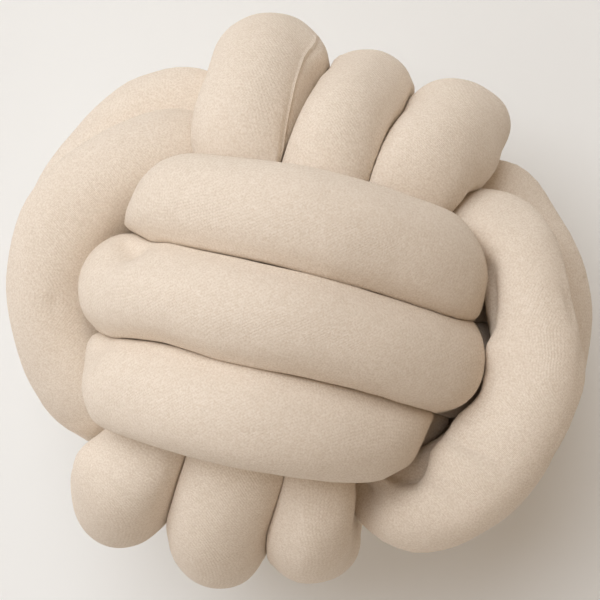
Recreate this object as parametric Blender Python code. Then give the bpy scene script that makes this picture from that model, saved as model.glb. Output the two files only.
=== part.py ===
"""Knot cushion: one stuffed jersey tube, tied as a monkey's fist of three sets of three turns.

The object lies on its back: +Z is up, out of its face, +X is to the right of the face and +Y
towards its top. The origin is on the surface it lies on, under the middle of its box. The
closed centreline of the tube comes first, then a section round each of its points.
"""

import bpy
import numpy as np

# Driving sizes, in metres
LAYER = 0.042  # from one run to the run that crosses over it, centre to centre
SECTION_AREA = 1.12 * LAYER**2  # of the stuffed tube where nothing presses on it
FLOOR_REACH = 3.22 * LAYER  # from the middle of the knot down to the surface
GAP = 0.005  # between two runs that press on each other

# Fineness
STEPS_PER_SET = 72
STEPS_PER_LINK = 14
PATH_POINTS = 420
OBSTACLE_POINTS = 900
RINGS = 260
SIDES = 12

FACES = 4  # that a turn crosses

# The three sets of turns, in the order in which the tube is tied. A set's loops lie in the plane
# of its inner and outer axes. They pass over the outer faces, far from the middle of the knot,
# and under the neighbouring set at the inner faces. The turns lie side by side along the side
# axis. A set starts and ends at the inner face on its negative side, where it goes into the core,
# and its two cuts are the shares of a turn that are left out there.
SETS = {
    "bands": {"inner": 0, "outer": 2, "side": 1, "lean": 0.0, "cuts": (0.05, 0.18)},
    "fingers": {"inner": 2, "outer": 1, "side": 0, "lean": 0.0, "cuts": (0.05, 0.05)},
    "arcs": {"inner": 1, "outer": 0, "side": 2, "lean": 0.05, "cuts": (0.05, 0.05)},
}

# Where each set starts, and then one row for each turn, with a station where the turn crosses
# each face, in the order in which the tube gets there. A station is the reach from the middle and
# the place along the side axis, both in layers, and how square the quarter turn after it is.
STARTS = {"bands": (1.20, 0.76, 2.5), "fingers": (1.65, 0.95, 2.6), "arcs": (2.10, 1.10, 2.5)}
#        outer face +        inner face +        outer face -         inner face -
TURNS = {
    "bands": (
        (2.85, 1.10, 2.1), (1.86, 0.78, 2.5), (2.80, 1.10, 2.5), (1.80, -0.17, 2.5),
        (2.90, 0.08, 2.1), (1.98, -0.24, 2.5), (2.80, 0.00, 2.5), (1.34, -1.14, 2.5),
        (2.85, -1.07, 2.1), (1.40, -0.82, 2.5), (2.84, -1.10, 2.5), (1.55, -1.20, 2.5),
    ),
    "fingers": (
        (2.26, 1.40, 2.6), (1.65, 0.82, 2.6), (2.60, 0.72, 2.6), (1.70, 0.45, 2.6),
        (2.24, 0.22, 2.6), (1.80, -0.20, 2.6), (2.95, -0.28, 2.6), (1.70, -0.55, 2.6),
        (2.72, -0.95, 2.6), (1.60, -1.00, 2.6), (2.78, -1.58, 2.6), (1.65, -1.05, 2.6),
    ),
    "arcs": (
        (2.91, 1.65, 3.0), (1.48, 0.98, 2.4), (2.88, 1.10, 3.0), (1.50, 0.45, 2.6),
        (2.92, 0.20, 3.8), (1.85, 0.00, 4.0), (2.90, 0.00, 3.0), (1.70, -0.50, 2.6),
        (2.76, -1.10, 3.8), (1.65, -0.98, 4.0), (2.80, -1.10, 3.0), (1.60, -0.98, 2.6),
    ),
}

# A run through the core, from set to set
LINK_PULL = 2.2  # in layers: more makes a rounder run
LINK_DIVE = 1.0  # share of the way straight into the core, beside the way along the set

# How the runs make room for each other
NEAREST_SAME_SET = 0.90  # centre to centre, in layers
NEAREST_OTHER = 0.80
WINDOW = 1.6  # points nearer than this along the tube are one run, in layers
SPREAD_STEPS = 300
HOLD = 0.06  # share of the way back to its place that a point of a set moves in a step
STIFFNESS = 0.30
MOST_BEND = 0.050  # in layers, as bulge gives it: a point that stands out further is pulled in
PATH_SMOOTHINGS = 4
CURVATURE_SMOOTHINGS = 6
ANY_DIRECTION = (0.3, 0.5, 0.8)  # not along the path where the sections' frames start

# The pressed section, in layers
OWN_BEND = 0.85  # share of a bend's radius that the tube may fill on its inner side
WIDEST = 0.95
THINNEST = 0.12
REACH_OF_A_NEIGHBOUR = 2.6
LEAST_FACING = 0.02  # a ray that faces a neighbour less than this never meets it
SECTION_STEPS = 500
SKIN_PULL = 0.45  # evens out the curve round a section
ALONG_PULL = 0.15  # evens out neighbouring sections
SWELL = 0.8  # share of the missing area that a step gives back
MOST_SWELL = 0.08
LEAST_FREE = 0.3  # of a section's outline, for the swelling
TINY = 1e-6

# Where a run of a set is shifted. A row is the set, the turn, how far along the turn the shift
# reaches, and the shift in layers.
SHIFTS = (
    ("bands", 0.39, 0.07, (0.00, 0.00, -0.18)),
    ("bands", 1.39, 0.07, (0.00, 0.00, -0.18)),
    ("bands", 2.39, 0.07, (0.00, 0.00, -0.18)),
    ("fingers", 1.62, 0.05, (-0.07, 0.00, 0.00)),
    ("arcs", 0.34, 0.07, (0.00, 0.00, 0.20)),
    ("arcs", 0.60, 0.06, (0.00, -0.11, 0.00)),
    ("fingers", 2.60, 0.06, (-0.16, 0.06, 0.00)),
)

# Where the tube holds more or less filling. A row is the set, the turn, the share of the section
# that is added, and how far along the turn it reaches.
FILLS = (
    ("fingers", 2.25, 0.12, 0.10),
    ("fingers", 1.72, 0.06, 0.10),
    ("bands", 2.46, -0.22, 0.10),
)

# Where a run is squeezed from two sides. A row is the set, the turn, how far along the turn the
# squeeze reaches, the way across it, and half of the thickness that is left, in layers.
SQUEEZES = (
    ("arcs", 0.28, 0.16, (1.0, 0.0, 0.0), 0.42),
)

# Where a hand has pulled the tied knot into shape. A row is the set that moves, the place in
# layers from the middle, the reach and the move there, which fades out to nothing at the reach.
PULLS = (
    ("all", (-1.90, 2.20, 0.00), 1.20, (-0.03, 0.12, 0.00)),  # top of the left arcs
    ("all", (-3.20, 1.45, 0.00), 1.20, (0.09, -0.04, 0.00)),  # their shoulder
    ("all", (-3.60, -0.30, 0.50), 1.50, (0.05, 0.00, 0.00)),
    ("all", (-2.10, -2.20, 0.50), 0.70, (-0.11, 0.00, 0.00)),  # their foot
    ("all", (2.10, 2.20, 0.00), 1.10, (-0.03, 0.13, 0.00)),  # shoulder of the right arcs
    ("all", (3.40, -1.30, 0.00), 1.40, (0.06, -0.04, 0.00)),  # their foot
    ("all", (2.40, -2.60, 0.30), 1.50, (0.06, -0.20, 0.00)),
    ("all", (-2.16, -1.40, 1.50), 0.90, (0.06, 0.01, 0.00)),  # left end of the lowest band
    ("all", (-1.35, -0.80, 2.80), 0.90, (-0.01, 0.06, 0.00)),  # furrow over it
    ("all", (-2.45, -0.50, 1.80), 0.90, (-0.11, 0.00, 0.00)),  # left end of the middle band
    ("bands", (-2.30, 0.10, 1.60), 0.60, (-0.05, 0.06, 0.00)),
    ("bands", (2.20, -0.13, 2.19), 0.70, (0.08, 0.01, 0.00)),  # right end of the middle band
    ("bands", (-2.09, -0.91, 2.26), 0.45, (0.07, -0.03, 0.00)),
    ("bands", (2.09, 0.94, 2.20), 0.70, (0.05, 0.01, 0.00)),  # right end of the highest band
    ("bands", (2.02, -1.11, 2.20), 0.90, (-0.11, 0.03, 0.00)),  # right end of the lowest band
    ("bands", (2.05, -0.98, 1.75), 0.50, (-0.22, -0.04, -0.10)),
    ("bands", (2.10, 0.32, 2.05), 0.45, (0.06, 0.00, 0.00)),
    ("fingers", (-0.35, 2.95, 0.30), 0.60, (0.03, 0.05, 0.00)),  # tip of the left finger
    ("fingers", (-0.42, 3.00, 0.68), 0.40, (0.06, 0.03, 0.00)),
    ("fingers", (1.02, 2.83, 0.30), 0.80, (-0.04, 0.05, 0.00)),  # tip of the right finger
    ("fingers", (1.82, 1.60, 1.00), 0.70, (0.07, -0.04, 0.00)),  # its foot
    ("fingers", (0.45, -2.18, 2.07), 1.00, (0.05, 0.01, 0.00)),
    ("fingers", (1.29, -2.64, 0.70), 0.60, (-0.07, -0.01, 0.00)),
    ("fingers", (-2.00, -2.37, 1.31), 0.60, (-0.12, 0.06, 0.00)),
    ("arcs", (2.06, 1.79, 1.60), 0.80, (0.04, -0.07, 0.00)),  # bend of the right front arc
    ("arcs", (2.93, 1.65, 0.30), 1.10, (-0.05, -0.04, 0.00)),
    ("arcs", (2.24, 0.89, 1.60), 0.80, (0.07, 0.02, 0.00)),
    ("arcs", (2.56, 1.96, 0.44), 0.70, (-0.05, -0.06, 0.00)),
    ("arcs", (2.28, 1.74, 1.77), 0.50, (0.00, -0.06, 0.00)),
    ("arcs", (2.36, 0.00, 1.90), 0.70, (-0.05, -0.01, 0.00)),
    ("arcs", (2.20, -1.00, 1.90), 0.60, (-0.28, -0.04, 0.00)),
    ("arcs", (2.36, 0.16, 2.10), 0.28, (-0.07, 0.00, 0.00)),
    ("arcs", (3.07, -2.08, 0.00), 1.10, (-0.06, 0.02, 0.00)),
    ("arcs", (1.72, -2.73, 0.30), 0.80, (-0.01, -0.10, 0.00)),
    ("arcs", (-1.80, 2.36, 0.20), 0.70, (-0.01, 0.06, 0.00)),
    ("arcs", (-3.07, -1.72, 0.30), 1.00, (-0.04, -0.03, 0.00)),
)

JERSEY_COLOUR = (0.73, 0.61, 0.49, 1.0)
JERSEY_ROUGHNESS = 0.95


def remove_all_objects():
    for obj in list(bpy.data.objects):
        bpy.data.objects.remove(obj, do_unlink=True)


def length_of(vectors):
    return np.linalg.norm(vectors, axis=-1, keepdims=True)


def unit(vectors):
    return vectors / length_of(vectors)


def signed_power(values, exponent):
    return np.sign(values) * np.abs(values) ** exponent


def set_path(name):
    """Centreline of a set's three turns, in layers, and each point's turn: a squared loop whose
    reach, side and squareness change from face to face."""
    axes = SETS[name]
    reach, side, squareness = np.array((STARTS[name],) + TURNS[name]).T
    turns = len(TURNS[name]) / FACES
    first_cut, last_cut = axes["cuts"]
    turn = np.linspace(first_cut, turns - last_cut, STEPS_PER_SET)
    face = np.floor(FACES * turn).astype(int)
    part = FACES * turn - face
    inner_reach = reach[face + face % 2]
    outer_reach = reach[face + 1 - face % 2]
    power = 2 / squareness[face]
    ease = part * part * (3 - 2 * part)
    angle = 2 * np.pi * turn
    outward = outer_reach * signed_power(np.sin(angle), power)
    path = np.zeros((len(turn), 3))
    path[:, axes["outer"]] = outward
    path[:, axes["inner"]] = -inner_reach * signed_power(np.cos(angle), power) - axes["lean"] * outward
    path[:, axes["side"]] = side[face] + (side[face + 1] - side[face]) * ease
    for shifted, where, far, shift in SHIFTS:
        if shifted == name:
            path += np.exp(-(((turn - where) / far) ** 2))[:, None] * shift
    return path, turn


def link(before, after, inward, outward):
    """The run through the core, from the end of one set to the start of the next."""
    start, end = before[-1], after[0]
    leave = unit(start - before[-2]) + LINK_DIVE * inward
    arrive = unit(after[1] - end) + LINK_DIVE * outward
    t = np.linspace(0, 1, STEPS_PER_LINK + 2)[1:-1, None]
    return (
        (2 * t**3 - 3 * t**2 + 1) * start
        + (t**3 - 2 * t**2 + t) * leave * LINK_PULL
        + (3 * t**2 - 2 * t**3) * end
        + (t**3 - t**2) * arrive * LINK_PULL
    )


def tied_path():
    """The whole closed centreline, each point's set, or -1 in the core, and its turn there."""
    names = list(SETS)
    paths = [set_path(name) for name in names]
    axis = np.eye(3)
    points, kinds, turns = [], [], []
    for i, (path, turn) in enumerate(paths):
        after = (i + 1) % len(paths)
        inward = axis[SETS[names[i]]["inner"]]
        outward = -axis[SETS[names[after]]["inner"]]
        through = link(path, paths[after][0], inward, outward)
        points += [path, through]
        kinds += [i] * len(path) + [-1] * len(through)
        turns += list(turn) + [turn[-1]] * len(through)
    return np.concatenate(points), np.array(kinds), np.array(turns)


def evened(path, count, *others):
    """The closed path with count points the same distance apart, and other values along it. The
    values may jump: each point takes the one of the old point just before it."""
    ring = np.concatenate([path, path[:1]])
    along = np.concatenate([[0], np.cumsum(length_of(np.diff(ring, axis=0)))])
    at = np.linspace(0, along[-1], count, endpoint=False)
    points = np.stack([np.interp(at, along, ring[:, k]) for k in range(3)], axis=1)
    source = np.searchsorted(along, at, side="right") - 1
    return points, *(values[source] for values in others)


def steps_apart(count_a, count_b):
    """Distance along the closed tube between each pair of points, as a share of its length."""
    a = np.arange(count_a)[:, None] / count_a
    b = np.arange(count_b)[None] / count_b
    apart = np.abs(a - b)
    return np.minimum(apart, 1 - apart)


def path_length(path):
    return length_of(np.roll(path, -1, 0) - path).sum()


def bulge(path):
    """How far each point stands from the middle of its two neighbours."""
    return (np.roll(path, 1, 0) + np.roll(path, -1, 0)) / 2 - path


def spread(path, kinds):
    """Moves runs apart where they are nearer than the tube lets them, opens the tightest bends
    and keeps the points the same distance apart."""
    count = len(path)
    other_run = steps_apart(count, count) * path_length(path) > WINDOW
    same_set = (kinds[:, None] == kinds[None]) & (kinds[:, None] >= 0)
    nearest = np.where(same_set, NEAREST_SAME_SET, NEAREST_OTHER)
    hold = np.where(kinds >= 0, HOLD, 0.0)[:, None]
    place = path.copy()
    for _ in range(SPREAD_STEPS):
        away = path[:, None] - path[None]
        distance = length_of(away)[..., 0] + TINY
        lack = np.where(other_run, np.maximum(nearest - distance, 0), 0)
        presses = np.maximum((lack > 0).sum(axis=1), 1)[:, None]
        push = (away * (lack / distance)[..., None]).sum(axis=1) / presses / 2
        path = path + push - STIFFNESS * bulge(bulge(path)) + hold * (place - path)
        bent = bulge(path)
        along = unit(np.roll(path, -1, 0) - np.roll(path, 1, 0))
        path = path + along * (bent * along).sum(axis=1, keepdims=True)
        path = path + bent * np.maximum(1 - MOST_BEND / (length_of(bent) + TINY), 0)
    for _ in range(PATH_SMOOTHINGS):
        path = path + bulge(path) / 2
    return path


def section_frames(path):
    """Two unit vectors across the path at each point, turning as little as they can."""
    tangent = np.roll(path, -1, 0) - np.roll(path, 1, 0)
    tangent /= length_of(tangent)
    across = np.zeros_like(path)
    across[-1] = np.cross(tangent[-1], ANY_DIRECTION)
    for i in range(len(path)):
        flat = across[i - 1] - tangent[i] * (across[i - 1] @ tangent[i])
        across[i] = flat / length_of(flat)
    start = across[-1] - tangent[0] * (across[-1] @ tangent[0])
    twist = np.arctan2(start @ np.cross(tangent[0], across[0]), start @ across[0])
    turn = (-twist * np.arange(len(path)) / len(path))[:, None]
    other = np.cross(tangent, across)
    return (
        np.cos(turn) * across + np.sin(turn) * other,
        np.cos(turn) * other - np.sin(turn) * across,
    )


def curvature(path):
    """The curvature vector of the closed path, smoothed a little."""
    step = (np.roll(path, -1, 0) - np.roll(path, 1, 0)) / 2
    size = length_of(step) ** 2
    bend = 2 * bulge(path)
    curve = (bend - step * ((bend * step).sum(axis=1, keepdims=True) / size)) / size
    for _ in range(CURVATURE_SMOOTHINGS):
        curve = curve + bulge(curve) / 2
    return curve


def squeezed(limit, rays, kinds, turns):
    """The limits of the rays with the squeezes added."""
    for name, turn, reach, across, half in SQUEEZES:
        there = np.exp(-(((turns - turn) / reach) ** 2)) * (kinds == list(SETS).index(name))
        wide = half + (WIDEST - half) * (1 - there[:, None])
        limit = np.minimum(limit, wide / np.maximum(np.abs(rays @ np.array(across)), TINY))
    return limit


def room(path, rays, obstacles, gap, floor):
    """How far each ray may go before it meets the half-way plane to another run, the middle of
    its own bend, or the surface that the object lies on."""
    length = path_length(path)
    other_run = steps_apart(len(path), len(obstacles)) * length > WINDOW
    limit = np.full(rays.shape[:2], WIDEST)
    for i, centre in enumerate(path):
        away = obstacles - centre
        distance = length_of(away)[:, 0]
        near = other_run[i] & (distance < REACH_OF_A_NEIGHBOUR)
        towards = rays[i] @ (away[near] / distance[near, None]).T
        facing = np.maximum(towards, LEAST_FACING)
        half_way = np.where(towards > LEAST_FACING, (distance[near] - gap) / 2 / facing, WIDEST)
        limit[i] = np.minimum(limit[i], half_way.min(axis=1, initial=WIDEST))
    inner_side = np.einsum("ijk,ik->ij", rays, curvature(path))
    limit = np.minimum(limit, OWN_BEND / np.maximum(inner_side, OWN_BEND / WIDEST))
    down = np.maximum(-rays[..., 2], TINY)
    return np.minimum(limit, (path[:, 2:] - floor) / down)


def stuffed(limit, area):
    """Radii of sections of one area: each is an even curve where it is free, and lies flat on
    what presses against it elsewhere."""
    sides = limit.shape[1]
    chord = np.cos(2 * np.pi / sides)
    wedge = np.sin(2 * np.pi / sides) / 2
    radius = np.minimum(np.sqrt(area / np.pi)[:, None], limit)
    for _ in range(SECTION_STEPS):
        around = (np.roll(radius, 1, 1) + np.roll(radius, -1, 1)) / 2 * chord
        along = (np.roll(radius, 1, 0) + np.roll(radius, -1, 0)) / 2
        radius = radius + SKIN_PULL * (around - radius) + ALONG_PULL * (along - radius)
        radius = np.minimum(radius, limit)
        lack = area - wedge * (radius * np.roll(radius, -1, 1)).sum(axis=1)
        free = np.where(radius < limit - TINY, radius, 0).sum(axis=1) * 2 * np.pi / sides
        swell = np.clip(SWELL * lack / np.maximum(free, LEAST_FREE), -MOST_SWELL, MOST_SWELL)
        radius = np.clip(radius + swell[:, None], THINNEST, limit)
    return radius


def filling(kinds, turns):
    """The area of each ring's section, in square layers."""
    area = np.full(len(turns), SECTION_AREA / LAYER**2)
    for name, turn, share, reach in FILLS:
        there = kinds == list(SETS).index(name)
        area *= 1 + np.where(there, share * np.exp(-(((turns - turn) / reach) ** 2)), 0)
    return area


def pulled(points, kinds):
    """The points, in layers, after the hand's pulls."""
    for name, place, reach, move in PULLS:
        moves = (name == "all") | (kinds == list(SETS).index(name) if name in SETS else False)
        away = ((points - place) ** 2).sum(axis=-1) / reach**2
        share = np.maximum(1 - away, 0) ** 2 * np.broadcast_to(moves, kinds.shape)[:, None]
        points = points + share[..., None] * np.array(move)
    return points


def tube_points():
    """Points of the tube's surface in metres, ring by ring."""
    tied, kinds, turns = tied_path()
    path, kinds, turns = evened(tied, PATH_POINTS, kinds, turns)
    path = spread(path, kinds)
    (obstacles,) = evened(path, OBSTACLE_POINTS)
    path, kinds, turns = evened(path, RINGS, kinds, turns)
    across, other = section_frames(path)
    angle = 2 * np.pi * np.arange(SIDES)[None, :, None] / SIDES
    rays = np.cos(angle) * across[:, None] + np.sin(angle) * other[:, None]
    floor = -FLOOR_REACH / LAYER
    limit = room(path, rays, obstacles, GAP / LAYER, floor)
    radius = stuffed(squeezed(limit, rays, kinds, turns), filling(kinds, turns))
    points = pulled(path[:, None] + radius[..., None] * rays, kinds)
    low, high = points.min(axis=(0, 1)), points.max(axis=(0, 1))
    points[..., :2] -= (low + high)[:2] / 2
    points[..., 2] = np.maximum(points[..., 2] - floor, 0)
    return points * LAYER


def closed_tube(name, points):
    """A mesh lofted round the closed tube, through rings of unlike sections."""
    rings, sides = points.shape[:2]
    ring, side = np.meshgrid(np.arange(rings), np.arange(sides), indexing="ij")
    next_ring, next_side = (ring + 1) % rings, (side + 1) % sides
    corners = ((ring, side), (ring, next_side), (next_ring, next_side), (next_ring, side))
    faces = np.stack([r * sides + s for r, s in corners], axis=-1).reshape(-1, 4)
    mesh = bpy.data.meshes.new(name)
    mesh.from_pydata(points.reshape(-1, 3).tolist(), [], faces.tolist())
    mesh.validate()
    mesh.shade_smooth()
    return mesh


def jersey():
    material = bpy.data.materials.new("brushed_jersey")
    material.use_nodes = True
    surface = material.node_tree.nodes["Principled BSDF"]
    surface.inputs["Base Color"].default_value = JERSEY_COLOUR
    surface.inputs["Roughness"].default_value = JERSEY_ROUGHNESS
    surface.inputs["Metallic"].default_value = 0.0
    return material


def main():
    remove_all_objects()
    collection = bpy.data.collections.new("knot_cushion")
    bpy.context.scene.collection.children.link(collection)
    mesh = closed_tube("knot_tube", tube_points())
    mesh.materials.append(jersey())
    collection.objects.link(bpy.data.objects.new("knot_tube", mesh))


main()
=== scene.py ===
"""Knot cushion, looks: one stuffed tube of brushed cotton jersey, tied as a monkey's fist.

The tube is solved again on a fine mesh, from the same centreline and the same rules as its CAD
solid, and takes that solid's place. It gets its sewn seam, its lumps of filling, its small folds
and a knitted cloth that runs along it.
"""

import bpy
import numpy as np
from mathutils import Matrix, Vector, noise


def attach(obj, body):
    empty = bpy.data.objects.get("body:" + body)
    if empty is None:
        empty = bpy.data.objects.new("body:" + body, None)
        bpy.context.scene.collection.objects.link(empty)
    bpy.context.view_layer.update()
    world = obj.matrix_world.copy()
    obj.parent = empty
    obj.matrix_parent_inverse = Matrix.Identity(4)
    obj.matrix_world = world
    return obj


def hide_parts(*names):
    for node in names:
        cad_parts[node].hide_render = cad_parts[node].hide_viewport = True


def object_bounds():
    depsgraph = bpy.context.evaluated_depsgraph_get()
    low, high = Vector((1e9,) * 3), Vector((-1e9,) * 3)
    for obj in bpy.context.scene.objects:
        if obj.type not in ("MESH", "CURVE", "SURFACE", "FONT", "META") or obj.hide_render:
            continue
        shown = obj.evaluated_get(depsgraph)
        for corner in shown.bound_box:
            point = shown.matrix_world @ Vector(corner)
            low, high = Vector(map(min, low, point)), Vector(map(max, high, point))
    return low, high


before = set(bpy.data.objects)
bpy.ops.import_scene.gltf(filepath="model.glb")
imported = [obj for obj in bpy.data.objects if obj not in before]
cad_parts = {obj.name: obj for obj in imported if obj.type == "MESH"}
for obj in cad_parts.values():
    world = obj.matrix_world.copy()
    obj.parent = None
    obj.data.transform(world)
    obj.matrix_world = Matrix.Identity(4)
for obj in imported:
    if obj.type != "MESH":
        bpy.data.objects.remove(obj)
CAD_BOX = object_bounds()

# Driving sizes, in metres
LAYER = 0.042  # from one run to the run that crosses over it, centre to centre
SECTION_AREA = 1.12 * LAYER**2
FLOOR_REACH = 3.22 * LAYER  # from the middle of the knot down to the surface
GAP = 0.00005  # between two runs that press on each other

# Fineness
STEPS_PER_SET = 72
STEPS_PER_LINK = 14
PATH_POINTS = 420
OBSTACLE_POINTS = 2400
RINGS = 1250
SIDES = 78
COARSE_SIDES = 48
FACES = 4  # that a turn crosses

# The three sets of turns, in the order in which the tube is tied. A set's loops lie in the plane
# of its inner and outer axes. They pass over the outer faces, far from the middle of the knot,
# and under the neighbouring set at the inner faces. The turns lie side by side along the side
# axis. A set starts and ends at the inner face on its negative side, where it goes into the core,
# and its two cuts are the shares of a turn that are left out there.
SETS = {
    "bands": {"inner": 0, "outer": 2, "side": 1, "lean": 0.0, "cuts": (0.05, 0.18)},
    "fingers": {"inner": 2, "outer": 1, "side": 0, "lean": 0.0, "cuts": (0.05, 0.05)},
    "arcs": {"inner": 1, "outer": 0, "side": 2, "lean": 0.05, "cuts": (0.05, 0.05)},
}

# Where each set starts, and then one row for each turn, with a station where the turn crosses
# each face, in the order in which the tube gets there. A station is the reach from the middle and
# the place along the side axis, both in layers, and how square the quarter turn after it is.
STARTS = {"bands": (1.20, 0.76, 2.5), "fingers": (1.65, 0.95, 2.6), "arcs": (2.10, 1.10, 2.5)}
#        outer face +        inner face +        outer face -         inner face -
TURNS = {
    "bands": (
        (2.85, 1.10, 2.1), (1.86, 0.78, 2.5), (2.80, 1.10, 2.5), (1.80, -0.17, 2.5),
        (2.90, 0.08, 2.1), (1.98, -0.24, 2.5), (2.80, 0.00, 2.5), (1.34, -1.14, 2.5),
        (2.85, -1.07, 2.1), (1.40, -0.82, 2.5), (2.84, -1.10, 2.5), (1.55, -1.20, 2.5),
    ),
    "fingers": (
        (2.26, 1.40, 2.6), (1.65, 0.82, 2.6), (2.60, 0.72, 2.6), (1.70, 0.45, 2.6),
        (2.24, 0.22, 2.6), (1.80, -0.20, 2.6), (2.95, -0.28, 2.6), (1.70, -0.55, 2.6),
        (2.72, -0.95, 2.6), (1.60, -1.00, 2.6), (2.78, -1.58, 2.6), (1.65, -1.05, 2.6),
    ),
    "arcs": (
        (2.91, 1.65, 3.0), (1.48, 0.98, 2.4), (2.88, 1.10, 3.0), (1.50, 0.45, 2.6),
        (2.92, 0.20, 3.8), (1.85, 0.00, 4.0), (2.90, 0.00, 3.0), (1.70, -0.50, 2.6),
        (2.76, -1.10, 3.8), (1.65, -0.98, 4.0), (2.80, -1.10, 3.0), (1.60, -0.98, 2.6),
    ),
}

# A run through the core, from set to set
LINK_PULL = 2.2  # in layers: more makes a rounder run
LINK_DIVE = 1.0  # share of the way straight into the core, beside the way along the set

# How the runs make room for each other
NEAREST_SAME_SET = 0.90  # centre to centre, in layers
NEAREST_OTHER = 0.80
WINDOW = 1.6  # points nearer than this along the tube are one run, in layers
SPREAD_STEPS = 300
HOLD = 0.06  # share of the way back to its place that a point of a set moves in a step
STIFFNESS = 0.30
MOST_BEND = 0.050  # in layers, as bulge gives it: a point that stands out further is pulled in
PATH_SMOOTHINGS = 4
CURVATURE_SMOOTHINGS = 6
FINER = 8  # points that a smooth curve gets for each point of the path
ANY_DIRECTION = (0.3, 0.5, 0.8)  # not along the path where the sections' frames start

# The pressed section, in layers
OWN_BEND = 0.85  # share of a bend's radius that the tube may fill on its inner side
WIDEST = 0.95
THINNEST = 0.12
REACH_OF_A_NEIGHBOUR = 2.6
LEAST_FACING = 0.02  # a ray that faces a neighbour less than this never meets it
COARSE_STEPS = 500
FINE_STEPS = 40
SKIN_PULL = 0.45  # evens out the curve round a section
ALONG_PULL = 0.15  # evens out neighbouring sections
SWELL = 0.8  # share of the missing area that a step gives back
MOST_SWELL = 0.08
LEAST_FREE = 0.3  # of a section's outline, for the swelling
CUSP = 0.055  # a run closes up to the half-way plane where it would stay nearer to it than this
TINY = 1e-6

# Where a run of a set is shifted. A row is the set, the turn, how far along the turn the shift
# reaches, and the shift in layers.
SHIFTS = (
    ("bands", 0.39, 0.07, (0.00, 0.00, -0.18)),
    ("bands", 1.39, 0.07, (0.00, 0.00, -0.18)),
    ("bands", 2.39, 0.07, (0.00, 0.00, -0.18)),
    ("fingers", 1.62, 0.05, (-0.07, 0.00, 0.00)),
    ("arcs", 0.34, 0.07, (0.00, 0.00, 0.20)),
    ("arcs", 0.60, 0.06, (0.00, -0.11, 0.00)),
    ("fingers", 2.60, 0.06, (-0.16, 0.06, 0.00)),
)

# Where the tube holds more or less filling. A row is the set, the turn, the share of the section
# that is added, and how far along the turn it reaches.
FILLS = (
    ("fingers", 2.25, 0.12, 0.10),
    ("fingers", 1.72, 0.06, 0.10),
    ("bands", 2.46, -0.22, 0.10),
)

# Where a run is squeezed from two sides. A row is the set, the turn, how far along the turn the
# squeeze reaches, the way across it, and half of the thickness that is left, in layers.
SQUEEZES = (
    ("arcs", 0.28, 0.16, (1.0, 0.0, 0.0), 0.42),
)

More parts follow.
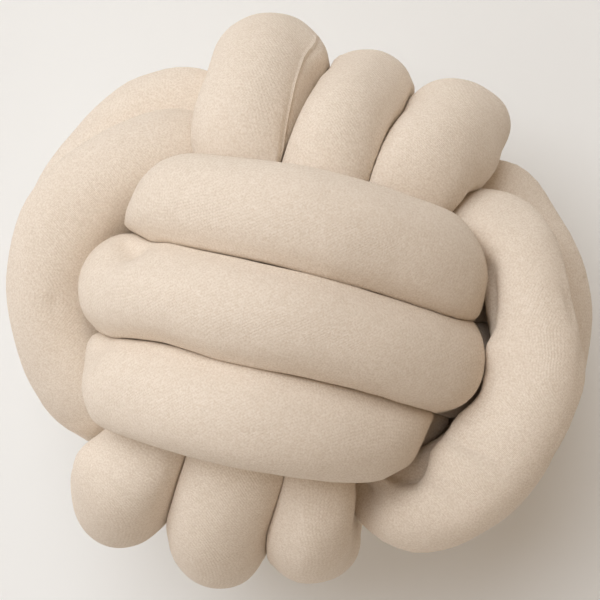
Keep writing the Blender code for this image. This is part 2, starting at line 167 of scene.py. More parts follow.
# Where a hand has pulled the tied knot into shape, one pull after another. A row is the set that
# moves, the place in layers from the middle, the reach, and the move there, which fades out to
# nothing at the reach.
PULLS = (
    ("all", (-1.90, 2.20, 0.00), 1.20, (-0.03, 0.12, 0.00)),  # top of the left arcs
    ("all", (-3.20, 1.45, 0.00), 1.20, (0.09, -0.04, 0.00)),  # their shoulder
    ("all", (-3.60, -0.30, 0.50), 1.50, (0.05, 0.00, 0.00)),
    ("all", (-2.10, -2.20, 0.50), 0.70, (-0.11, 0.00, 0.00)),  # their foot
    ("all", (2.10, 2.20, 0.00), 1.10, (-0.03, 0.13, 0.00)),  # shoulder of the right arcs
    ("all", (3.40, -1.30, 0.00), 1.40, (0.06, -0.04, 0.00)),  # their foot
    ("all", (2.40, -2.60, 0.30), 1.50, (0.06, -0.20, 0.00)),
    ("all", (-2.16, -1.40, 1.50), 0.90, (0.06, 0.01, 0.00)),  # left end of the lowest band
    ("all", (-1.35, -0.80, 2.80), 0.90, (-0.01, 0.06, 0.00)),  # furrow over it
    ("all", (-2.45, -0.50, 1.80), 0.90, (-0.11, 0.00, 0.00)),  # left end of the middle band
    ("bands", (-2.30, 0.10, 1.60), 0.60, (-0.05, 0.06, 0.00)),
    ("bands", (2.20, -0.13, 2.19), 0.70, (0.08, 0.01, 0.00)),  # right end of the middle band
    ("bands", (-2.12, -0.86, 2.10), 0.45, (0.14, -0.04, 0.00)),  # corners of the left ends
    ("bands", (-1.90, 0.34, 2.35), 0.50, (0.08, -0.09, 0.00)),
    ("bands", (2.09, 0.94, 2.20), 0.70, (0.05, 0.01, 0.00)),  # right end of the highest band
    ("bands", (2.02, -1.11, 2.20), 0.90, (-0.05, 0.03, 0.00)),  # right end of the lowest band
    ("bands", (2.05, -0.98, 1.75), 0.60, (-0.14, -0.03, -0.28)),
    ("bands", (2.10, 0.32, 2.05), 0.45, (0.03, 0.02, 0.00)),
    ("fingers", (-0.35, 2.95, 0.30), 0.60, (0.03, 0.05, 0.00)),  # tip of the left finger
    ("fingers", (-0.42, 3.00, 0.68), 0.40, (0.06, 0.03, 0.00)),
    ("fingers", (1.02, 2.83, 0.30), 0.80, (-0.04, 0.05, 0.00)),  # tip of the right finger
    ("fingers", (1.82, 1.60, 1.00), 0.70, (0.07, -0.04, 0.00)),  # its foot
    ("fingers", (1.83, 2.10, 1.09), 0.60, (0.09, -0.01, 0.00)),
    ("fingers", (0.45, -2.18, 2.07), 1.00, (0.05, 0.01, 0.00)),
    ("fingers", (1.29, -2.64, 0.70), 0.60, (-0.07, -0.01, 0.00)),
    ("fingers", (-2.00, -2.37, 1.31), 0.60, (-0.12, 0.06, 0.00)),
    ("arcs", (2.06, 1.79, 1.60), 0.80, (0.04, -0.07, 0.00)),  # bend of the right front arc
    ("arcs", (2.93, 1.65, 0.30), 1.10, (-0.05, -0.04, 0.00)),
    ("arcs", (2.24, 0.89, 1.60), 0.80, (0.07, 0.02, 0.00)),
    ("arcs", (2.56, 1.96, 0.44), 0.70, (-0.05, -0.06, 0.00)),
    ("arcs", (2.28, 1.74, 1.77), 0.50, (0.00, -0.06, 0.00)),
    ("arcs", (2.36, 0.00, 1.90), 0.70, (-0.05, -0.01, 0.00)),
    ("arcs", (2.20, -1.04, 1.90), 0.75, (-0.36, -0.08, 0.00)),
    ("arcs", (2.36, 0.16, 2.10), 0.28, (-0.07, 0.00, 0.00)),
    ("arcs", (3.15, 0.05, 2.10), 1.00, (0.11, 0.00, 0.00)),  # line between the two right arcs
    ("arcs", (3.07, -2.08, 0.00), 1.10, (-0.06, 0.02, 0.00)),
    ("arcs", (1.72, -2.73, 0.30), 0.80, (-0.01, -0.10, 0.00)),
    ("arcs", (-1.80, 2.36, 0.20), 0.70, (-0.01, 0.06, 0.00)),
    ("arcs", (-3.07, -1.72, 0.30), 1.00, (-0.04, -0.03, 0.00)),
)

# Creases and dents, on the pulled knot. A row is the set, the ends of the crease in layers from
# the middle, and the crease's width and depth. Where rows meet, the deeper one counts.
CREASES = (
    ("arcs", (2.10, 1.05, 1.95), (2.24, 0.42, 1.98), 0.13, 0.11),  # right front arc's inner flank
    ("arcs", (1.98, -1.00, 1.70), (1.78, -1.30, 1.72), 0.20, 0.44),  # the same flank, lower down
    ("arcs", (1.78, -1.30, 1.72), (1.50, -1.64, 1.66), 0.26, 0.36),
    ("arcs", (1.50, -1.64, 1.66), (1.16, -1.94, 1.52), 0.32, 0.32),
    ("arcs", (3.04, 0.98, 2.08), (3.28, 0.34, 2.10), 0.07, 0.06),  # between the two right arcs
    ("arcs", (3.28, 0.34, 2.10), (3.35, -0.30, 2.03), 0.07, 0.06),
    ("arcs", (-2.80, -0.52, 1.55), (-2.55, -0.40, 1.75), 0.06, 0.035),
    ("fingers", (0.48, -2.20, 2.05), (0.62, -2.75, 1.70), 0.12, 0.04),
    ("bands", (-1.86, 0.36, 2.32), (-2.02, 0.41, 2.00), 0.13, 0.09),  # rounds a band's corner
)

# The filling's lumps, as heights in metres. A row is the size of the lumps and their height.
LUMPS = ((0.034, 0.0010), (0.013, 0.0003))

# The seam, which the maker turned towards the middle of the knot nearly everywhere. It shows on
# one turn of the fingers. A row is the turn and the way the seam faces there.
SEAM_SET = "fingers"
SEAM_SHOWS = (
    (2.10, (0.30, 0.60, 0.50)),
    (2.25, (0.42, 0.75, 0.50)),
    (2.31, (0.50, 0.28, 0.80)),
    (2.42, (0.56, 0.00, 0.80)),
    (2.50, (0.95, 0.00, 0.45)),
)
SEAM_FROM, SEAM_TO = 2.29, 2.55  # the turns between which the ridge shows
SEAM_FADE = 0.03  # of a turn
SEAM_EASE = 0.22  # of a turn, in which the seam turns towards the middle, beyond the rows
UP_AND_DOWN = (0, 1, 1, 0)
SEAM_SMOOTHINGS = 60
SEAM_CROWDING = 0.80  # how much nearer the mesh lines lie to each other at the seam
SEAM_HEIGHT = 0.0009
SEAM_WIDTH = 0.0009
SEAM_DIP = 0.0007
SEAM_DIP_WIDTH = 0.0016
SEAM_DIP_OFFSET = -0.0019

# The cloth
WALES = 118  # round the tube
COURSES = 4800  # along the whole tube
LEG_PLACE = 0.25  # of a wale, from its middle to the middle of a leg
LEG_SLANT = 1.6  # courses that a leg climbs from the middle of its wale to the edge
LOOP_RELIEF = 0.45
STITCH_HEIGHT = 0.00022
FUZZ_SIZE = 0.00095
FUZZ_SHARE = 1.0
FUZZ_DETAIL = 3
NAP_SIZE = 0.006
NAP_SHARE = 0.5
NAP_DETAIL = 2
# The base colour is darker where the stitches are low: painted shade in the hollows of the knit. The
# fuzz and the nap make it darker and lighter at random.
STITCH_PAINTED_SHADE = 0.9
FUZZ_SHADE = 2.6
NAP_SHADE = 0.4
MEAN_STITCH = 0.56  # of the heights that stitches() gives
MEAN_NOISE = 0.5
EVEN_SHADE = 0.5 - MEAN_STITCH * STITCH_PAINTED_SHADE - MEAN_NOISE * (FUZZ_SHADE + NAP_SHADE)
# The two ends of the colour. The deep end shows where the stitches sink, as painted shade, and where
# the fuzz and the nap are low, as random tone.
PALE_YARN = (0.98, 0.880, 0.762)
DEEP_YARN_AND_PAINTED_SHADE = (0.80, 0.683, 0.557)
CLOTH_FINISH = {
    "Roughness": 0.95,
    "Specular IOR Level": 0.2,
    "Sheen Weight": 0.12,
    "Sheen Roughness": 0.5,
}

# The camera, from the middle of the knot: 30 layers away, a little above and to the right
CAMERA_DISTANCE = 30 * LAYER
CAMERA_LEAN = (2.3, 4.0)  # degrees towards +X and +Y
CAMERA_ROLL = 13.0
SENSOR = 36.0  # mm
LENS = 147.6  # mm
CAMERA_SHIFT = (0.0033, 0.0117)

# The studio light. A sun is the way it shines from, along the camera's right, up and back, its
# strength, and its angle in degrees, which softens its shadow.
SUNS = {
    "key": ((-0.33, 0.46, 0.82), 1.96, 50),
    "side": ((-0.82, 0.27, 0.50), 0.55, 60),
    "low": ((-0.51, -0.70, 0.50), 0.44, 60),
}
SUN_COLOUR = (0.92, 0.955, 1.0)
WORLD_STRENGTH = 0.30
WORLD_COLOUR = (1.0, 0.74, 0.50)
FLOOR_COLOUR = (0.89, 0.91, 0.91)
FLOOR_SIZE = 8.0  # metres
FLOOR_ROUGHNESS = 0.9


def length_of(vectors):
    return np.linalg.norm(vectors, axis=-1, keepdims=True)


def unit(vectors):
    return vectors / length_of(vectors)


def signed_power(values, exponent):
    return np.sign(values) * np.abs(values) ** exponent


# ---------------------------------------------------------------- the centreline


def set_path(name):
    """Centreline of a set's three turns, in layers, and each point's turn: a squared loop whose
    reach, side and squareness change from face to face."""
    axes = SETS[name]
    reach, side, squareness = np.array((STARTS[name],) + TURNS[name]).T
    turns = len(TURNS[name]) / FACES
    first_cut, last_cut = axes["cuts"]
    turn = np.linspace(first_cut, turns - last_cut, STEPS_PER_SET)
    face = np.floor(FACES * turn).astype(int)
    part = FACES * turn - face
    inner_reach = reach[face + face % 2]
    outer_reach = reach[face + 1 - face % 2]
    power = 2 / squareness[face]
    ease = part * part * (3 - 2 * part)
    angle = 2 * np.pi * turn
    outward = outer_reach * signed_power(np.sin(angle), power)
    path = np.zeros((len(turn), 3))
    path[:, axes["outer"]] = outward
    path[:, axes["inner"]] = -inner_reach * signed_power(np.cos(angle), power) - axes["lean"] * outward
    path[:, axes["side"]] = side[face] + (side[face + 1] - side[face]) * ease
    for shifted, where, far, shift in SHIFTS:
        if shifted == name:
            path += np.exp(-(((turn - where) / far) ** 2))[:, None] * shift
    return path, turn


def link(before, after, inward, outward):
    """The run through the core, from the end of one set to the start of the next."""
    start, end = before[-1], after[0]
    leave = unit(start - before[-2]) + LINK_DIVE * inward
    arrive = unit(after[1] - end) + LINK_DIVE * outward
    t = np.linspace(0, 1, STEPS_PER_LINK + 2)[1:-1, None]
    return (
        (2 * t**3 - 3 * t**2 + 1) * start
        + (t**3 - 2 * t**2 + t) * leave * LINK_PULL
        + (3 * t**2 - 2 * t**3) * end
        + (t**3 - t**2) * arrive * LINK_PULL
    )


def tied_path():
    """The whole closed centreline, each point's set, or -1 in the core, and its turn there."""
    names = list(SETS)
    paths = [set_path(name) for name in names]
    axis = np.eye(3)
    points, kinds, turns = [], [], []
    for i, (path, turn) in enumerate(paths):
        after = (i + 1) % len(paths)
        inward = axis[SETS[names[i]]["inner"]]
        outward = -axis[SETS[names[after]]["inner"]]
        through = link(path, paths[after][0], inward, outward)
        points += [path, through]
        kinds += [i] * len(path) + [-1] * len(through)
        turns += list(turn) + [turn[-1]] * len(through)
    return np.concatenate(points), np.array(kinds), np.array(turns)


def evened(path, count, *others):
    """The closed path with count points the same distance apart, and other values along it. The
    values may jump: each point takes the one of the old point just before it."""
    ring = np.concatenate([path, path[:1]])
    along = np.concatenate([[0], np.cumsum(length_of(np.diff(ring, axis=0)))])
    at = np.linspace(0, along[-1], count, endpoint=False)
    points = np.stack([np.interp(at, along, ring[:, k]) for k in range(3)], axis=1)
    source = np.searchsorted(along, at, side="right") - 1
    return points, *(values[source] for values in others)


def steps_apart(count_a, count_b):
    """Distance along the closed tube between each pair of points, as a share of its length."""
    a = np.arange(count_a)[:, None] / count_a
    b = np.arange(count_b)[None] / count_b
    apart = np.abs(a - b)
    return np.minimum(apart, 1 - apart)


def path_length(path):
    return length_of(np.roll(path, -1, 0) - path).sum()


def bulge(path):
    """How far each point stands from the middle of its two neighbours."""
    return (np.roll(path, 1, 0) + np.roll(path, -1, 0)) / 2 - path


def spread(path, kinds):
    """Moves runs apart where they are nearer than the tube lets them, opens the tightest bends
    and keeps the points the same distance apart."""
    count = len(path)
    other_run = steps_apart(count, count) * path_length(path) > WINDOW
    same_set = (kinds[:, None] == kinds[None]) & (kinds[:, None] >= 0)
    nearest = np.where(same_set, NEAREST_SAME_SET, NEAREST_OTHER)
    hold = np.where(kinds >= 0, HOLD, 0.0)[:, None]
    place = path.copy()
    for _ in range(SPREAD_STEPS):
        away = path[:, None] - path[None]
        distance = length_of(away)[..., 0] + TINY
        lack = np.where(other_run, np.maximum(nearest - distance, 0), 0)
        presses = np.maximum((lack > 0).sum(axis=1), 1)[:, None]
        push = (away * (lack / distance)[..., None]).sum(axis=1) / presses / 2
        path = path + push - STIFFNESS * bulge(bulge(path)) + hold * (place - path)
        bent = bulge(path)
        along = unit(np.roll(path, -1, 0) - np.roll(path, 1, 0))
        path = path + along * (bent * along).sum(axis=1, keepdims=True)
        path = path + bent * np.maximum(1 - MOST_BEND / (length_of(bent) + TINY), 0)
    for _ in range(PATH_SMOOTHINGS):
        path = path + bulge(path) / 2
    return path


def rounded(path, count):
    """The closed path as a smooth curve with count points the same distance apart."""
    spectrum = np.fft.rfft(path, axis=0)
    fine = np.fft.irfft(spectrum, FINER * len(path), axis=0) * FINER
    return evened(fine, count)[0]


# ---------------------------------------------------------------- the sections


def section_frames(path):
    """Two unit vectors across the path at each point, turning as little as they can."""
    tangent = unit(np.roll(path, -1, 0) - np.roll(path, 1, 0))
    across = np.zeros_like(path)
    across[-1] = np.cross(tangent[-1], ANY_DIRECTION)
    for i in range(len(path)):
        across[i] = unit(across[i - 1] - tangent[i] * (across[i - 1] @ tangent[i]))
    start = across[-1] - tangent[0] * (across[-1] @ tangent[0])
    twist = np.arctan2(start @ np.cross(tangent[0], across[0]), start @ across[0])
    turn = (-twist * np.arange(len(path)) / len(path))[:, None]
    other = np.cross(tangent, across)
    return (
        np.cos(turn) * across + np.sin(turn) * other,
        np.cos(turn) * other - np.sin(turn) * across,
    )


def curvature(path):
    """The curvature vector of the closed path, smoothed over about half a layer each way."""
    step = (np.roll(path, -1, 0) - np.roll(path, 1, 0)) / 2
    size = length_of(step) ** 2
    bend = 2 * bulge(path)
    curve = (bend - step * ((bend * step).sum(axis=1, keepdims=True) / size)) / size
    smoothings = CURVATURE_SMOOTHINGS * max(1, round((len(path) / PATH_POINTS) ** 2))
    for _ in range(smoothings):
        curve = curve + bulge(curve) / 2
    return curve


def of_set(name, kinds):
    """Which rings belong to a set, or all of them."""
    if name == "all":
        return np.ones(len(kinds), bool)
    return kinds == list(SETS).index(name)


def squeezed(limit, rays, kinds, turns):
    """The limits of the rays with the squeezes added."""
    for name, turn, reach, across, half in SQUEEZES:
        there = np.exp(-(((turns - turn) / reach) ** 2)) * of_set(name, kinds)
        wide = half + (WIDEST - half) * (1 - there[:, None])
        limit = np.minimum(limit, wide / np.maximum(np.abs(rays @ np.array(across)), TINY))
    return limit


def room(path, rays, obstacles):
    """How far each ray may go before it meets the half-way plane to another run, the middle of
    its own bend, or the surface that the object lies on."""
    gap = GAP / LAYER
    length = path_length(path)
    other_run = steps_apart(len(path), len(obstacles)) * length > WINDOW
    limit = np.full(rays.shape[:2], WIDEST)
    for i, centre in enumerate(path):
        away = obstacles - centre
        distance = length_of(away)[:, 0]
        near = other_run[i] & (distance < REACH_OF_A_NEIGHBOUR)
        towards = rays[i] @ (away[near] / distance[near, None]).T
        facing = np.maximum(towards, LEAST_FACING)
        half_way = np.where(towards > LEAST_FACING, (distance[near] - gap) / 2 / facing, WIDEST)
        limit[i] = np.minimum(limit[i], half_way.min(axis=1, initial=WIDEST))
    inner_side = np.einsum("ijk,ik->ij", rays, curvature(path))
    limit = np.minimum(limit, OWN_BEND / np.maximum(inner_side, OWN_BEND / WIDEST))
    down = np.maximum(-rays[..., 2], TINY)
    return np.minimum(limit, (path[:, 2:] + FLOOR_REACH / LAYER) / down)


def stuffed(limit, area):
    """Radii of sections of one area: each is an even curve where it is free, and lies flat on
    what presses against it elsewhere."""
    sides = limit.shape[1]
    chord = np.cos(2 * np.pi / sides)
    wedge = np.sin(2 * np.pi / sides) / 2
    radius = np.minimum(np.sqrt(area / np.pi)[:, None], limit)
    for _ in range(COARSE_STEPS):
        around = (np.roll(radius, 1, 1) + np.roll(radius, -1, 1)) / 2 * chord
        along = (np.roll(radius, 1, 0) + np.roll(radius, -1, 0)) / 2
        radius = radius + SKIN_PULL * (around - radius) + ALONG_PULL * (along - radius)
        radius = np.minimum(radius, limit)
        lack = area - wedge * (radius * np.roll(radius, -1, 1)).sum(axis=1)
        free = np.where(radius < limit - TINY, radius, 0).sum(axis=1) * 2 * np.pi / sides
        swell = np.clip(SWELL * lack / np.maximum(free, LEAST_FREE), -MOST_SWELL, MOST_SWELL)
        radius = np.clip(radius + swell[:, None], THINNEST, limit)
    return radius


def even_angles(rings, sides):
    return np.broadcast_to(2 * np.pi * np.arange(sides) / sides, (rings, sides))


def rays_at(across, other, angle):
    """A ray for each ring and each of its angles."""
    return np.cos(angle)[..., None] * across[:, None] + np.sin(angle)[..., None] * other[:, None]


def read_round(radius, angle):
    """The radii of rings at even angles, read at other angles by a cubic curve."""
    sides = radius.shape[1]
    place = (angle / (2 * np.pi) * sides) % sides
    low = np.floor(place).astype(int)
    t = place - low
    ring = np.arange(len(radius))[:, None]
    a, b, c, d = (radius[ring, (low + k) % sides] for k in (-1, 0, 1, 2))
    return b + t / 2 * (c - a + t * (2 * a - 5 * b + 4 * c - d + t * (3 * (b - c) + d - a)))


def filling(kinds, turns):
    """The area of each ring's section, in square layers."""
    area = np.full(len(turns), SECTION_AREA / LAYER**2)
    for name, turn, share, reach in FILLS:
        area *= 1 + share * np.exp(-(((turns - turn) / reach) ** 2)) * of_set(name, kinds)
    return area


def pulled(points, kinds):
    """The points, in layers, after the hand's pulls."""
    for name, place, reach, move in PULLS:
        away = ((points - place) ** 2).sum(axis=-1) / reach**2
        share = np.maximum(1 - away, 0) ** 2 * of_set(name, kinds)[:, None]
        points = points + share[..., None] * np.array(move)
    return points


def creases(points, kinds):
    """How deep the creases are at each point, in layers."""
    depth = np.zeros(points.shape[:2])
    for name, start, end, width, deepest in CREASES:
        along = np.subtract(end, start)
        share = np.clip((points - start) @ along / (along @ along), 0, 1)[..., None]
        away = length_of(points - start - share * along)[..., 0] / width
        crease = deepest * np.exp(-(away**2)) * of_set(name, kinds)[:, None]
        depth = np.maximum(depth, crease)
    return depth


def lumps(points):
    """The height of the lumps of filling at each point, in metres."""
    height = np.zeros(points.shape[:2])
    for size, most in LUMPS:
        values = [noise.noise(Vector(point)) for point in (points / size).reshape(-1, 3).tolist()]
        height += most * np.array(values).reshape(height.shape)
    return height


# ---------------------------------------------------------------- the seam


def seam_direction(path, kinds, turns):
    """The way the seam faces on each ring, how far it has turned outwards, and how much of its
    ridge shows, both from 0 to 1."""
    inward = -unit(path)
    rows = np.array([(turn, *facing) for turn, facing in SEAM_SHOWS])
    first, last = rows[0, 0], rows[-1, 0]
    there = of_set(SEAM_SET, kinds)
    ease = (first - SEAM_EASE, first, last, last + SEAM_EASE)
    fade = (SEAM_FROM - SEAM_FADE, SEAM_FROM, SEAM_TO, SEAM_TO + SEAM_FADE)
    turned = there * np.interp(turns, ease, UP_AND_DOWN)
    shows = there * np.interp(turns, fade, UP_AND_DOWN)
    shown = unit(np.stack([np.interp(turns, rows[:, 0], rows[:, k]) for k in (1, 2, 3)], axis=1))
    return inward + (shown - inward) * turned[:, None], turned, shows


def smoothed(values, times):
    for _ in range(times):
        values = values + bulge(values) / 2
    return values


def seam_angle(direction, across, other):
    """The seam's angle on each ring, unwound and evened out."""
    angle = np.unwrap(np.arctan2((direction * other).sum(axis=1), (direction * across).sum(axis=1)))
    winding = round((angle[-1] - angle[0]) / (2 * np.pi)) * 2 * np.pi
    ramp = winding * np.arange(len(angle)) / len(angle)
    return smoothed(angle - ramp, SEAM_SMOOTHINGS) + ramp


def seam_relief(points, shows):
    """Height of the sewn ridge and of the dip beside it, over each point of a ring."""
    step = length_of(np.roll(points, -1, 1) - points)[..., 0]
    from_start = np.cumsum(step, axis=1) - step
    whole = step.sum(axis=1, keepdims=True)
    offset = np.where(from_start < whole / 2, from_start, from_start - whole)
    ridge = SEAM_HEIGHT * np.exp(-((offset / SEAM_WIDTH) ** 2))
    dip = SEAM_DIP * np.exp(-(((offset - SEAM_DIP_OFFSET) / SEAM_DIP_WIDTH) ** 2))
    return (ridge - dip) * shows[:, None]


# ---------------------------------------------------------------- the tube


def solve_path():
    """The fine centreline, the points that other runs are kept away from, and each fine point's
    set and turn."""
    tied, kinds, turns = tied_path()
    path, kinds, turns = evened(tied, PATH_POINTS, kinds, turns)
    path = spread(path, kinds)
    source = np.arange(RINGS) * PATH_POINTS // RINGS
    return rounded(path, RINGS), rounded(path, OBSTACLE_POINTS), kinds[source], turns[source]


def coarse_sections(path, frames, obstacles, kinds, turns):
    """The radii of all rings, solved on every second ring and with fewer sides."""
    across, other = frames
    rays = rays_at(across[::2], other[::2], even_angles(RINGS // 2, COARSE_SIDES))
    limit = room(path[::2], rays, obstacles)
    solved = stuffed(squeezed(limit, rays, kinds[::2], turns[::2]), filling(kinds, turns)[::2])
    radius = np.empty((RINGS, COARSE_SIDES))
    radius[::2] = solved
    radius[1::2] = (solved + np.roll(solved, -1, 0)) / 2
    return radius


def mesh_angles(path, frames, kinds, turns):
    """The angles of the mesh lines on each ring, which start at the seam and crowd round it, and
    how much of the seam's ridge shows there."""
    across, other = frames
    direction, turned, shows = seam_direction(path, kinds, turns)
    start = seam_angle(direction, across, other)
    crowding = SEAM_CROWDING * smoothed(turned, SEAM_SMOOTHINGS)
    even = even_angles(RINGS, SIDES)
    angle = start[:, None] + even - crowding[:, None] * np.sin(even)
    return angle, smoothed(shows, CURVATURE_SMOOTHINGS)


def fine_sections(radius, limit):
    """The radii evened out along the tube, with the narrow parts of its grooves closed."""
    radius = np.minimum(radius, limit)
    for _ in range(FINE_STEPS):
        along = (np.roll(radius, 1, 0) + np.roll(radius, -1, 0)) / 2
        radius = np.minimum(radius + ALONG_PULL * (along - radius), limit)
    free = limit - radius
    return limit - free * (1 - np.exp(-((free / CUSP) ** 2)))


def solve_tube():
    """The fine surface in metres, ring by ring. The middle of the knot is over the origin, and
    z is up from the surface that the knot lies on."""
    path, obstacles, kinds, turns = solve_path()
    frames = section_frames(path)
    coarse = coarse_sections(path, frames, obstacles, kinds, turns)
    angle, shows = mesh_angles(path, frames, kinds, turns)
    rays = rays_at(*frames, angle)
    limit = squeezed(room(path, rays, obstacles), rays, kinds, turns)
    radius = fine_sections(read_round(coarse, angle), limit)

    points = path[:, None] + radius[..., None] * rays
    relief = (seam_relief(points * LAYER, shows) + lumps(points * LAYER)) / LAYER
    radius = np.minimum(radius + relief - creases(pulled(points, kinds), kinds), limit)
    points = pulled(path[:, None] + radius[..., None] * rays, kinds) * LAYER
    points[..., 2] = np.maximum(points[..., 2] + FLOOR_REACH, 0)
    return points


def centred(points):
    """The points moved so that their box lies over the CAD box's middle, and the way they went."""
    low, high = points.min(axis=(0, 1)), points.max(axis=(0, 1))
    cad_low, cad_high = (np.array(corner) for corner in CAD_BOX)
    move = (cad_low + cad_high - low - high) / 2
    move[2] = 0
    return points + move, move


def tube_mesh(points):
    """A mesh lofted round the closed tube. Its UV map runs from 0 to 1 round the tube and from 0 to 1
    along it.
    """
    rings, sides = points.shape[:2]
    ring, side = np.meshgrid(np.arange(rings), np.arange(sides), indexing="ij")
    next_ring, next_side = (ring + 1) % rings, (side + 1) % sides
    corners = ((ring, side), (ring, next_side), (next_ring, next_side), (next_ring, side))
    faces = np.stack([r * sides + s for r, s in corners], axis=-1).reshape(-1, 4)
    mesh = bpy.data.meshes.new("jersey_tube")
    mesh.from_pydata(points.reshape(-1, 3).tolist(), [], faces.tolist())
    step = length_of(np.roll(points, -1, 1) - points)[..., 0]
    round_tube = np.concatenate([np.zeros((rings, 1)), np.cumsum(step, axis=1)], axis=1)
    round_tube /= round_tube[:, -1:]
    along_tube = np.arange(rings + 1) / rings
    unwrapped = ((ring, side), (ring, side + 1), (next_ring, side + 1), (next_ring, side))
    u = np.stack([round_tube[r, s] for r, s in unwrapped], axis=-1)
    v = along_tube[np.stack([ring, ring, ring + 1, ring + 1], axis=-1)]
    uv = mesh.uv_layers.new(name="cloth")
    uv.data.foreach_set("uv", np.stack([u, v], axis=-1).reshape(-1).astype(np.float32))
    mesh.shade_smooth()
    return mesh


# ---------------------------------------------------------------- the cloth


class Nodes:
    """Adds nodes to a material and links them up."""

    def __init__(self, material):
        self.tree = material.node_tree

    def add(self, kind, **settings):
        node = self.tree.nodes.new(kind)
        for name, value in settings.items():
            setattr(node, name, value)
        return node

    def link(self, source, socket):
        self.tree.links.new(source, socket)

    def math(self, operation, *values):
        """The result of a Math node. A value is a number or another node's output."""
        node = self.add("ShaderNodeMath", operation=operation)
        for socket, value in zip(node.inputs, values):
            if isinstance(value, (int, float)):
                socket.default_value = value
            else:
                self.link(value, socket)
        return node.outputs[0]

    def noise(self, place, scale, detail):
        node = self.add("ShaderNodeTexNoise")
        node.inputs["Scale"].default_value = scale
        node.inputs["Detail"].default_value = detail
        self.link(place, node.inputs["Vector"])
        return node.outputs["Fac"]


def stitches(nodes):
    """Height of plain knitting, from 0 to 1: wales of slanted legs, two to a stitch."""
    cloth = nodes.add("ShaderNodeUVMap", uv_map="cloth").outputs["UV"]
    split = nodes.add("ShaderNodeSeparateXYZ")
    nodes.link(cloth, split.inputs[0])
    wale = nodes.math("FRACT", nodes.math("MULTIPLY", split.outputs["X"], WALES))
    from_middle = nodes.math("ABSOLUTE", nodes.math("SUBTRACT", wale, 0.5))
    off_leg = nodes.math("MULTIPLY", nodes.math("SUBTRACT", from_middle, LEG_PLACE), 1 / LEG_PLACE)
    leg = nodes.math("SUBTRACT", 1.0, nodes.math("MULTIPLY", off_leg, off_leg))
    course = nodes.math("MULTIPLY", split.outputs["Y"], COURSES)
    slanted = nodes.math("MULTIPLY_ADD", from_middle, LEG_SLANT, course)
    loop = nodes.math("SINE", nodes.math("MULTIPLY", nodes.math("FRACT", slanted), np.pi))
    return nodes.math("MULTIPLY", leg, nodes.math("MULTIPLY_ADD", loop, LOOP_RELIEF, 1 - LOOP_RELIEF))


def jersey():
    """Brushed cotton jersey: fine knitting that runs along the tube, under short fuzz, with painted
    shade in the hollows between the stitches.
    """
    material = bpy.data.materials.new("brushed_jersey")
    material.use_nodes = True
    nodes = Nodes(material)
    surface = material.node_tree.nodes["Principled BSDF"]
    for name, value in CLOTH_FINISH.items():
        surface.inputs[name].default_value = value

    place = nodes.add("ShaderNodeTexCoord").outputs["Object"]
    stitch = stitches(nodes)
    fuzz = nodes.noise(place, 1 / FUZZ_SIZE, FUZZ_DETAIL)
    nap = nodes.noise(place, 1 / NAP_SIZE, NAP_DETAIL)
    height = nodes.math("MULTIPLY_ADD", fuzz, FUZZ_SHARE, stitch)
    height = nodes.math("MULTIPLY_ADD", nap, NAP_SHARE, height)
    bump = nodes.add("ShaderNodeBump")
    bump.inputs["Distance"].default_value = STITCH_HEIGHT
    nodes.link(height, bump.inputs["Height"])
    nodes.link(bump.outputs["Normal"], surface.inputs["Normal"])

    # Painted shade: the colour darkens in the hollows between the stitches. The fuzz and the nap vary
    # it at random.
    tone_and_painted_shade = nodes.math("MULTIPLY_ADD", stitch, STITCH_PAINTED_SHADE, EVEN_SHADE)
    tone_and_painted_shade = nodes.math("MULTIPLY_ADD", fuzz, FUZZ_SHADE, tone_and_painted_shade)
    tone_and_painted_shade = nodes.math("MULTIPLY_ADD", nap, NAP_SHADE, tone_and_painted_shade)
    tint = nodes.add("ShaderNodeMix", data_type="RGBA")
    nodes.link(tone_and_painted_shade, tint.inputs["Factor"])
    tint.inputs["A"].default_value = (*DEEP_YARN_AND_PAINTED_SHADE, 1)
    tint.inputs["B"].default_value = (*PALE_YARN, 1)
    nodes.link(tint.outputs["Result"], surface.inputs["Base Color"])
    return material


# ---------------------------------------------------------------- the stage


def camera_axes():
    """Right, up and back of the camera, in the object's frame."""
    lean_x, lean_y = np.radians(CAMERA_LEAN)
    back = Vector((np.sin(lean_x) * np.cos(lean_y), np.sin(lean_y), np.cos(lean_x) * np.cos(lean_y)))
    back.normalize()
    level = Vector((1, 0, 0))
    level = (level - back * level.dot(back)).normalized()
    right = Matrix.Rotation(np.radians(CAMERA_ROLL), 3, back) @ level
    return right, back.cross(right), back


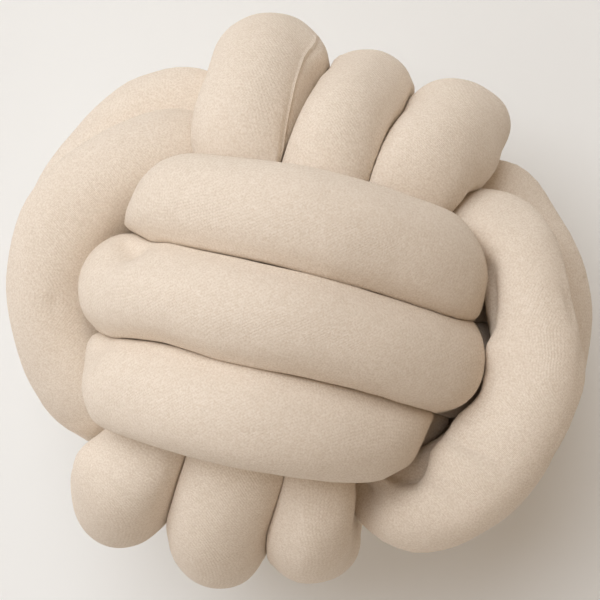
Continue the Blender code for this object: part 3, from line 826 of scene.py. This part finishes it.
def add_camera(middle):
    right, up, back = camera_axes()
    data = bpy.data.cameras.new("camera")
    data.sensor_width = SENSOR
    data.lens = LENS
    data.shift_x, data.shift_y = CAMERA_SHIFT
    camera = bpy.data.objects.new("camera", data)
    placed = Matrix((right, up, back)).transposed().to_4x4()
    placed.translation = middle + back * CAMERA_DISTANCE
    camera.matrix_world = placed
    bpy.context.scene.collection.objects.link(camera)
    bpy.context.scene.camera = camera


def add_sun(name, direction, strength, angle):
    """A sun that shines from a direction given along the camera's right, up and back."""
    light = bpy.data.lights.new(name, "SUN")
    light.energy = strength
    light.color = SUN_COLOUR
    light.angle = np.radians(angle)
    right, up, back = camera_axes()
    shines_from = right * direction[0] + up * direction[1] + back * direction[2]
    sun = bpy.data.objects.new(name, light)
    sun.rotation_mode = "QUATERNION"
    sun.rotation_quaternion = shines_from.to_track_quat("Z", "Y")
    bpy.context.scene.collection.objects.link(sun)


def add_world():
    world = bpy.data.worlds.new("studio")
    world.use_nodes = True
    background = world.node_tree.nodes["Background"]
    background.inputs["Color"].default_value = (*WORLD_COLOUR, 1)
    background.inputs["Strength"].default_value = WORLD_STRENGTH
    bpy.context.scene.world = world


def add_floor():
    bpy.ops.mesh.primitive_plane_add(size=FLOOR_SIZE)
    floor = bpy.context.object
    floor.name = "floor"
    material = bpy.data.materials.new("pale_floor")
    material.use_nodes = True
    surface = material.node_tree.nodes["Principled BSDF"]
    surface.inputs["Base Color"].default_value = (*FLOOR_COLOUR, 1)
    surface.inputs["Roughness"].default_value = FLOOR_ROUGHNESS
    floor.data.materials.append(material)


def main():
    points, move = centred(solve_tube())
    mesh = tube_mesh(points)
    mesh.materials.append(jersey())
    cushion = bpy.data.objects.new("jersey_tube", mesh)
    bpy.context.scene.collection.objects.link(cushion)
    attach(cushion, "root")
    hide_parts("knot_tube")
    add_floor()
    add_camera(Vector((move[0], move[1], FLOOR_REACH)))
    for name, settings in SUNS.items():
        add_sun(name, *settings)
    add_world()
    bpy.context.scene.view_settings.view_transform = "Standard"


main()
